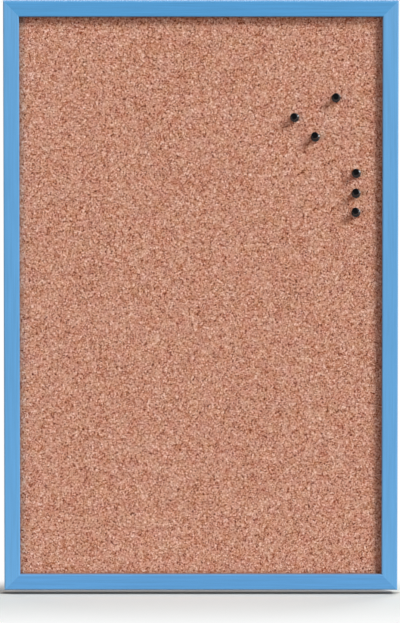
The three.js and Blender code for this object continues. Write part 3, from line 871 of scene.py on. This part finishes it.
PIN_BLACK = "#0d0c0e"
PIN_ROUGHNESS = (0.14, 0.24)
MOULD_HAZE = 1.5 * MM
MOULD_RELIEF = 0.01 * MM
PLASTIC_IOR = 1.49
PLASTIC_GLOSS = 0.36  # below the usual half, for handling has dulled the grips
BORE_RADIUS = 0.6 * MM
FLANGE_EDGE = 0.9 * MM
FLANGE_ROUND = 0.3 * MM
FLANGE_SLOPE_RISE = 0.7 * MM
FLANGE_SLOPE_WIDTH = 1.5 * MM
FLANGE_START = math.radians(20)  # slope at the flange's edge, which grows towards the waist
WAIST_RADIUS = 2.5 * MM
WAIST_FROM_FLANGE = 2.3 * MM
WAIST_FROM_HEAD = 4 * MM
HEAD_RADIUS = 3.6 * MM
HEAD_ROUND = 0.2 * MM  # at the head's lower edge
RIM_RADIUS = 0.7 * MM
CROWN = 0.12 * MM  # rise of the head's top
CROWN_END = 0.1 * MM  # radius of the flat spot in its middle
GRIP_STEPS = {"round": 7, "slope": 8, "curve": 16, "crown": 8, "around": 64}
NEEDLE_STEEL = "#c9ccd0"
NEEDLE_CLOUD = 0.8 * MM
NEEDLE_TONE = 0.04
NEEDLE_ROUGHNESS = (0.12, 0.2)
NEEDLE_RELIEF = 0.005 * MM
NEEDLE_RADIUS = 0.5 * MM
NEEDLE_TIP = 2.5 * MM
NEEDLE_POINT = 0.08  # share of the radius that is left at the point
NEEDLE_ROUND = 0.1 * MM
NEEDLE_STEPS = {"taper": 10, "around": 32}


def moulded_plastic(name):
    """Glossy black moulded plastic: near black, with sharp small highlights and a trace of haze."""
    material, tree, place = new_material(name)
    haze = noise(tree, place, MOULD_HAZE, detail=3.0)
    surface(
        tree,
        {
            "Base Color": linear(PIN_BLACK),
            "Roughness": carried(tree, haze, CLOUD_BAND, PIN_ROUGHNESS),
            "IOR": PLASTIC_IOR,
            "Specular IOR Level": PLASTIC_GLOSS,
            "Normal": raised(tree, haze, MOULD_RELIEF),
        },
    )
    return material


def grip_profile(flange, tall):
    """Radius and height along the grip, from its foot to the middle of its top: the flange's edge with
    both corners rounded, its hollow slope, a parabola, a curve that leaves the slope and ends upright at
    the waist, a quarter ellipse out to the head, the head's edge, its rim and a low crown."""
    soft = np.linspace(0, np.pi / 2, GRIP_STEPS["round"])
    quarter = np.linspace(0, np.pi / 2, GRIP_STEPS["curve"])
    crown = np.linspace(0, 1, GRIP_STEPS["crown"])[1:]
    edge_arc = np.linspace(0, np.pi / 2 - FLANGE_START, GRIP_STEPS["round"])
    edge_middle = FLANGE_EDGE - FLANGE_ROUND * (1 - math.sin(FLANGE_START)) / math.cos(FLANGE_START)
    slope_in = np.linspace(FLANGE_ROUND, FLANGE_SLOPE_WIDTH, GRIP_STEPS["slope"])[:-1]
    start = math.tan(FLANGE_START)
    growth = (FLANGE_SLOPE_RISE / FLANGE_SLOPE_WIDTH - start) / FLANGE_SLOPE_WIDTH
    slope_top = flange - FLANGE_SLOPE_WIDTH
    waist_foot = FLANGE_EDGE + FLANGE_SLOPE_RISE
    waist = waist_foot + WAIST_FROM_FLANGE
    pull = waist_foot + (slope_top - WAIST_RADIUS) * (start + 2 * growth * FLANGE_SLOPE_WIDTH)
    drawn_in = np.linspace(0, 1, GRIP_STEPS["curve"])
    head_foot = waist + WAIST_FROM_HEAD
    flat_flange = flange - FLANGE_ROUND
    flat_head = HEAD_RADIUS - HEAD_ROUND
    flat_top = HEAD_RADIUS - RIM_RADIUS
    top = tall - CROWN
    radius = np.concatenate([
        [BORE_RADIUS],
        flat_flange + FLANGE_ROUND * np.sin(soft),
        flat_flange + FLANGE_ROUND * np.cos(edge_arc),
        flange - slope_in,
        WAIST_RADIUS + (slope_top - WAIST_RADIUS) * (1 - drawn_in) ** 2,
        (WAIST_RADIUS + (flat_head - WAIST_RADIUS) * (1 - np.cos(quarter)))[1:],
        flat_head + HEAD_ROUND * np.sin(soft)[1:],
        flat_top + RIM_RADIUS * np.cos(soft),
        flat_top * (1 - crown) + CROWN_END * crown,
    ])
    height = np.concatenate([
        [0.0],
        FLANGE_ROUND * (1 - np.cos(soft)),
        edge_middle + FLANGE_ROUND * np.sin(edge_arc),
        FLANGE_EDGE + start * slope_in + growth * slope_in**2,
        waist_foot * (1 - drawn_in) ** 2 + 2 * pull * drawn_in * (1 - drawn_in) + waist * drawn_in**2,
        (waist + WAIST_FROM_HEAD * np.sin(quarter))[1:],
        head_foot + HEAD_ROUND * (1 - np.cos(soft))[1:],
        top - RIM_RADIUS * (1 - np.sin(soft)),
        top + CROWN * (1 - (1 - crown) ** 2),
    ])
    return radius, height


def needle_profile(long):
    """Radius and height along the needle, from its ground point to its end inside the grip."""
    taper = np.linspace(0, 1, NEEDLE_STEPS["taper"])
    radius = NEEDLE_RADIUS * np.concatenate([NEEDLE_POINT + (1 - NEEDLE_POINT) * taper, [1.0]])
    height = np.concatenate([NEEDLE_TIP * taper, [long - NEEDLE_ROUND]])
    return np.append(radius, NEEDLE_RADIUS - NEEDLE_ROUND), np.append(height, long)


black_plastic = moulded_plastic("moulded_black_plastic")
needle_steel = plated_steel(
    "polished_needle_steel", NEEDLE_STEEL, NEEDLE_CLOUD, NEEDLE_TONE, NEEDLE_ROUGHNESS, NEEDLE_RELIEF
)
for pin in pins:
    tip, axis = pin_line(pin)
    grip_points = points_of(pin + "_grip") - tip
    grip_height = grip_points @ axis
    foot = grip_height.min()
    flange = np.linalg.norm(grip_points - grip_height[:, None] * axis, axis=1).max()
    grip_shape = grip_profile(flange, grip_height.max() - foot)
    grip = round_rings(tip + foot * axis, axis, *grip_shape, GRIP_STEPS["around"])
    ringed_piece(pin + "_moulded_grip", grip, pin, [pin + "_grip"], black_plastic)

    needle_length = ((points_of(pin + "_needle") - tip) @ axis).max()
    needle = round_rings(tip, axis, *needle_profile(needle_length), NEEDLE_STEPS["around"])
    ringed_piece(pin + "_ground_needle", needle, pin, [pin + "_needle"], needle_steel)

# Floor
# A wide, plain floor of white matt paint. The board is held just clear of it, so its front shows a thin
# dark line under the bottom rail. The floor has painted shade right under the board and a painted warm
# tint beside it, against the blue light that the rails throw on it; it keeps the board's shadow close by,
# and further off it fades into the white of the studio.

FLOOR_GAP = 4.85 * MM
FLOOR_HALF = 6.0
FLOOR_MIDDLE = 4 * MM  # from the board's back to the line under it that distances are taken from
FLOOR_INSET = 12 * MM  # from the board's sides to the ends of that line
FLOOR_SHADE_TONES = ((0.2, "#b9b3ab"), (0.3, "#f6efe5"), (1.0, "#eff1ef"))  # painted shade under the board, a painted warm tint beside it, and further off
FLOOR_SHADE_TONES_TO = 60 * MM  # distance where the last tone is reached
FLOOR_BOUNCE = ("#a2a2a2", "#747474")  # what it throws back on the board, from close by and from far off
FADE = (30 * MM, 310 * MM)  # distances where it starts to fade, and where it is all white
FADE_BEHIND = 3.0  # how much faster it fades behind the board than in front
WHITE = "#ffffff"


def faded_floor_paint(name):
    """White matt paint whose tone, with painted shade under the board and a painted warm tint beside it,
    and whose share of a plain white glow, follow the distance from the line under the board: the length of
    what a place lies beyond the line's ends, before it and, counted more, behind it. In the light that
    it throws on the board the paint is duller and has no glow."""
    material, tree, place = new_material(name)
    material.cycles.emission_sampling = "NONE"  # the white glow is only seen, and lights nothing
    path = add(tree, "ShaderNodeLightPath").outputs
    before, behind = (
        worked_out_vector(tree, "MULTIPLY_ADD", place, (way, pace, way), (0.0, pace * FLOOR_MIDDLE, 0.0))
        for way, pace in ((-1.0, -1.0), (1.0, FADE_BEHIND))
    )
    reach = worked_out_vector(tree, "MAXIMUM", before, behind)
    line_end = (frame_side - FLOOR_INSET, 0.0, abs(floor_height))
    past = worked_out_vector(tree, "SUBTRACT", reach, line_end)
    beyond = worked_out_vector(tree, "MAXIMUM", past, (0.0, 0.0, 0.0))
    away = worked_out_vector(tree, "LENGTH", beyond, output="Value")
    fade = carried(tree, away, FADE, interpolation_type="SMOOTHSTEP")
    # painted shade under the board, and a painted warm tint beside it against the rails' blue light
    tone = toned(tree, carried(tree, away, (0.0, FLOOR_SHADE_TONES_TO)), FLOOR_SHADE_TONES)
    bounce = blend(tree, fade, *(linear(colour) for colour in FLOOR_BOUNCE))
    paint = blend(tree, path["Is Diffuse Ray"], tone, bounce)
    matt = add(tree, "ShaderNodeBsdfDiffuse", {"Color": paint})
    glow = add(tree, "ShaderNodeEmission", {"Color": linear(WHITE), "Strength": 1.0})
    seen = worked_out(tree, "SUBTRACT", 1.0, path["Is Diffuse Ray"])
    white = worked_out(tree, "MULTIPLY", fade, seen)
    mixed = add(tree, "ShaderNodeMixShader", {0: white, 1: matt.outputs[0], 2: glow.outputs[0]})
    add(tree, "ShaderNodeOutputMaterial", {"Surface": mixed.outputs[0]})
    return material


floor_height = cad_box[0].z - FLOOR_GAP
floor_corners = [(-1, -1), (1, -1), (1, 1), (-1, 1)]
floor_points = [(x * FLOOR_HALF, y * FLOOR_HALF, floor_height) for x, y in floor_corners]
floor_mesh = bpy.data.meshes.new("studio_floor")
floor_mesh.from_pydata(floor_points, [], [(0, 1, 2, 3)])
floor_mesh.materials.append(faded_floor_paint("studio_floor_paint"))
floor = bpy.data.objects.new("studio_floor", floor_mesh)
bpy.context.scene.collection.objects.link(floor)

# Light
# A key lamp from the upper right in front, a lower one on the same side, a weak one from the left, two
# lamps for the back of the board, and a dim white studio all round. The camera sees the studio as plain
# white.

LAMPS = {
    "key_lamp": {"towards": (0.945, -1.0, 1.03), "spread": 19, "strength": 3.15, "tint": "#f0fbff"},
    "low_lamp": {"towards": (0.89, -1.0, 0.12), "spread": 24, "strength": 0.5, "tint": "#ffe9da"},
    "left_lamp": {"towards": (-0.7, -1.0, 0.15), "spread": 18, "strength": 0.89, "tint": "#ffe5dc"},
    "back_lamp": {"towards": (0.4, 0.85, 1.5), "spread": 20, "strength": 0.55, "tint": WHITE},
    "low_back_lamp": {"towards": (-0.4, 0.9, 0.04), "spread": 30, "strength": 1.6, "tint": WHITE},
}
STUDIO_DIM = 0.14
STUDIO_FRONT = 0.06  # what glossy faces see in front of the board, and behind it they see white
STUDIO_TURN = (-0.3, 0.2)  # how far back a direction points where the one changes to the other


def lamp(name, towards, spread, strength, tint):
    """A distant soft lamp whose light comes from a direction, over an angle in degrees."""
    light = bpy.data.lights.new(name, "SUN")
    light.angle = math.radians(spread)
    light.energy = strength
    light.color = linear(tint)[:3]
    made = bpy.data.objects.new(name, light)
    made.rotation_mode = "QUATERNION"
    made.rotation_quaternion = (-Vector(towards)).to_track_quat("-Z", "Y")
    bpy.context.scene.collection.objects.link(made)


def white_studio(name):
    """A world that is white where it is looked at, dim where it lights the board, and for reflections
    white behind the board and dark in front of it."""
    world = bpy.data.worlds.new(name)
    world.use_nodes = True
    tree = world.node_tree
    tree.nodes.clear()
    path = add(tree, "ShaderNodeLightPath").outputs
    direction = add(tree, "ShaderNodeTexCoord").outputs["Generated"]
    mirrored = carried(tree, split(tree, direction)["Y"], STUDIO_TURN, (STUDIO_FRONT, 1.0))
    lit = blend_numbers(tree, path["Is Glossy Ray"], STUDIO_DIM, mirrored)
    looked_at = worked_out(tree, "MAXIMUM", path["Is Camera Ray"], path["Is Transmission Ray"])
    strength = blend_numbers(tree, looked_at, lit, 1.0)
    background = add(tree, "ShaderNodeBackground", {"Color": linear(WHITE), "Strength": strength})
    add(tree, "ShaderNodeOutputWorld", {"Surface": background.outputs[0]})
    return world


for lamp_name, settings in LAMPS.items():
    lamp(lamp_name, **settings)
bpy.context.scene.world = white_studio("white_studio")
bpy.context.scene.view_settings.view_transform = "Standard"

# Camera
# It stands far off, straight in front of the board and a little above it, and looks slightly down, as in
# the photograph of 400 by 623 pixels.

PHOTO_HEIGHT = 623
PIXELS_PER_METRE = 985.65  # at the front of the frame
CAMERA_DISTANCE = 7.516
CAMERA_PITCH = math.radians(5.5)
AIM = Vector((-0.89 * MM, -22 * MM, -15.16 * MM))
SENSOR = 36.0  # millimetres along the taller side of the picture

camera_data = bpy.data.cameras.new("camera")
camera_data.sensor_width = SENSOR
camera_data.lens = SENSOR * PIXELS_PER_METRE * CAMERA_DISTANCE / PHOTO_HEIGHT
camera = bpy.data.objects.new("camera", camera_data)
back = Vector((0.0, -math.cos(CAMERA_PITCH), math.sin(CAMERA_PITCH)))
camera.location = AIM + CAMERA_DISTANCE * back
camera.rotation_mode = "QUATERNION"
camera.rotation_quaternion = (-back).to_track_quat("-Z", "Y")
bpy.context.scene.collection.objects.link(camera)
bpy.context.scene.camera = camera
